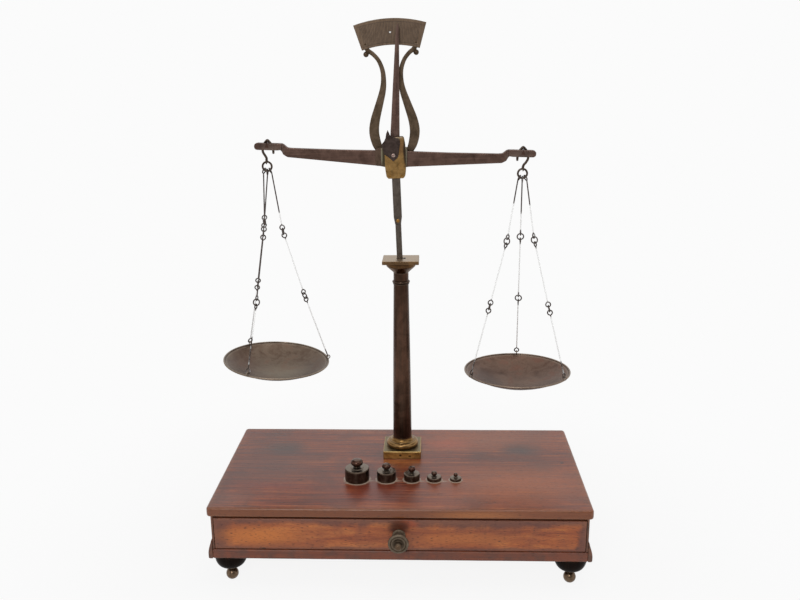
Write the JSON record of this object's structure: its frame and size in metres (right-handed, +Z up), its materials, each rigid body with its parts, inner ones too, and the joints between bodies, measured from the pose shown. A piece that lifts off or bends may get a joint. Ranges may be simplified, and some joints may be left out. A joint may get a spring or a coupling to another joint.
{
  "type": "two-pan beam balance on a drawer box",
  "caption": "Two-pan brass beam balance with a lyre-shaped indicator frame, on a mahogany drawer box with bun feet, with knob weights on the box top.",
  "frame": {"origin": "centre of the bounding box at floor level, under the feet", "axes": "+X to the right along the beam seen from the drawer's side, +Y away from the drawer knob, +Z up"},
  "size_m": [0.4061, 0.229, 0.582],
  "materials": {
    "mahogany": "old wax polish, slightly greyed",
    "figured_mahogany": "flame figured veneer, wax polish",
    "oak": "bare planed wood",
    "ebonised_wood": "black stain, dull polish",
    "worn_brass": "rubbed brass with brown patina",
    "old_brass": "dull greenish brown patina",
    "pan_brass": "beaten brass sheet, brown and olive patina",
    "polished_bronze": "polished dark bronze",
    "dark_bronze": "dark brown bronze patina",
    "dark_iron": "dark oiled iron",
    "brown_steel": "browned steel",
    "wire_steel": "worn drawn wire"
  },
  "bodies": {
    "case": {"top_board": "mahogany", "case_left_side": "mahogany", "case_right_side": "mahogany", "case_back": "mahogany", "case_bottom": "oak", "front_rail": "mahogany", "left_moulding": "mahogany", "right_moulding": "mahogany", "drawer_runners": "oak", "foot_buns": "ebonised_wood", "foot_balls": "worn_brass", "column_plinth": "worn_brass", "column_base_ring": "polished_bronze", "column_shaft": "dark_bronze", "column_capital": "dark_bronze", "column_bolt": "dark_iron", "column_nut": "dark_iron"},
    "drawer": {"drawer_front": "figured_mahogany", "drawer_left_side": "oak", "drawer_right_side": "oak", "drawer_back": "oak", "drawer_bottom": "oak", "drawer_knob": "dark_bronze", "knob_screw": "worn_brass"},
    "mast": {"mast_rod": "dark_iron", "mast_bar": "dark_iron", "mast_rivet": "worn_brass", "yoke_front_cheek": "worn_brass", "yoke_back_cheek": "old_brass", "yoke_block": "old_brass", "yoke_rivets": "worn_brass", "keeper_plate": "dark_iron", "keeper_pin": "wire_steel", "lyre_frame": "old_brass", "lyre_rivets": "old_brass", "indicator_plate": "old_brass", "plate_rivets": "old_brass"},
    "beam": {"beam_bar": "brown_steel", "saddle_front": "old_brass", "saddle_back": "old_brass", "centre_knife": "dark_iron", "left_knife": "dark_iron", "right_knife": "dark_iron", "pointer": "brown_steel"},
    "left_hook": {"left_hook": "dark_iron"},
    "right_hook": {"right_hook": "dark_iron"},
    "left_pan": {"left_pan_dish": "pan_brass", "left_pan_leg_1": "wire_steel", "left_pan_leg_2": "wire_steel", "left_pan_leg_3": "wire_steel"},
    "right_pan": {"right_pan_dish": "pan_brass", "right_pan_leg_1": "wire_steel", "right_pan_leg_2": "wire_steel", "right_pan_leg_3": "wire_steel"},
    "weight_1": {"weight_1": "dark_bronze"},
    "weight_2": {"weight_2": "dark_bronze"},
    "weight_3": {"weight_3": "dark_bronze"},
    "weight_4": {"weight_4": "dark_bronze"},
    "weight_5": {"weight_5": "dark_bronze"}
  },
  "joints": [
    {"name": "drawer_slide", "type": "slide", "parent": "case", "child": "drawer", "axis": [0, -1, 0], "range_m": [0, 0.145]},
    {"name": "mast_lift", "type": "slide", "parent": "case", "child": "mast", "axis": [-0.034, 0, 0.9994], "range_m": [-0.038, 0]},
    {"name": "beam_tilt", "type": "hinge", "parent": "mast", "child": "beam", "pos_m": [-0.00253, 0.05, 0.45113], "axis": [0, 1, 0], "range_deg": [-9.9, 6.1]},
    {"name": "left_hook_plumb", "type": "hinge", "parent": "beam", "child": "left_hook", "pos_m": [-0.14046, 0.05, 0.4557], "axis": [0, 1, 0], "range_deg": [-6.1, 9.9]},
    {"name": "right_hook_plumb", "type": "hinge", "parent": "beam", "child": "right_hook", "pos_m": [0.13539, 0.05, 0.44655], "axis": [0, 1, 0], "range_deg": [-6.1, 9.9]},
    {"name": "left_pan_swing", "type": "hinge", "parent": "left_hook", "child": "left_pan", "pos_m": [-0.14206, 0.05, 0.4242], "axis": [1, 0, 0], "range_deg": [-7, 7]},
    {"name": "right_pan_swing", "type": "hinge", "parent": "right_hook", "child": "right_pan", "pos_m": [0.13539, 0.05, 0.41505], "axis": [1, 0, 0], "range_deg": [-7, 7]},
    {"name": "weight_1_lift", "type": "slide", "parent": "case", "child": "weight_1", "axis": [0, 0, 1], "range_m": [0, 0.08]},
    {"name": "weight_2_lift", "type": "slide", "parent": "case", "child": "weight_2", "axis": [0, 0, 1], "range_m": [0, 0.08]},
    {"name": "weight_3_lift", "type": "slide", "parent": "case", "child": "weight_3", "axis": [0, 0, 1], "range_m": [0, 0.08]},
    {"name": "weight_4_lift", "type": "slide", "parent": "case", "child": "weight_4", "axis": [0, 0, 1], "range_m": [0, 0.08]},
    {"name": "weight_5_lift", "type": "slide", "parent": "case", "child": "weight_5", "axis": [0, 0, 1], "range_m": [0, 0.08]}
  ],
  "couplings": [
    {"joint": "left_hook_plumb", "follows": "beam_tilt", "ratio": -1},
    {"joint": "right_hook_plumb", "follows": "beam_tilt", "ratio": -1}
  ]
}
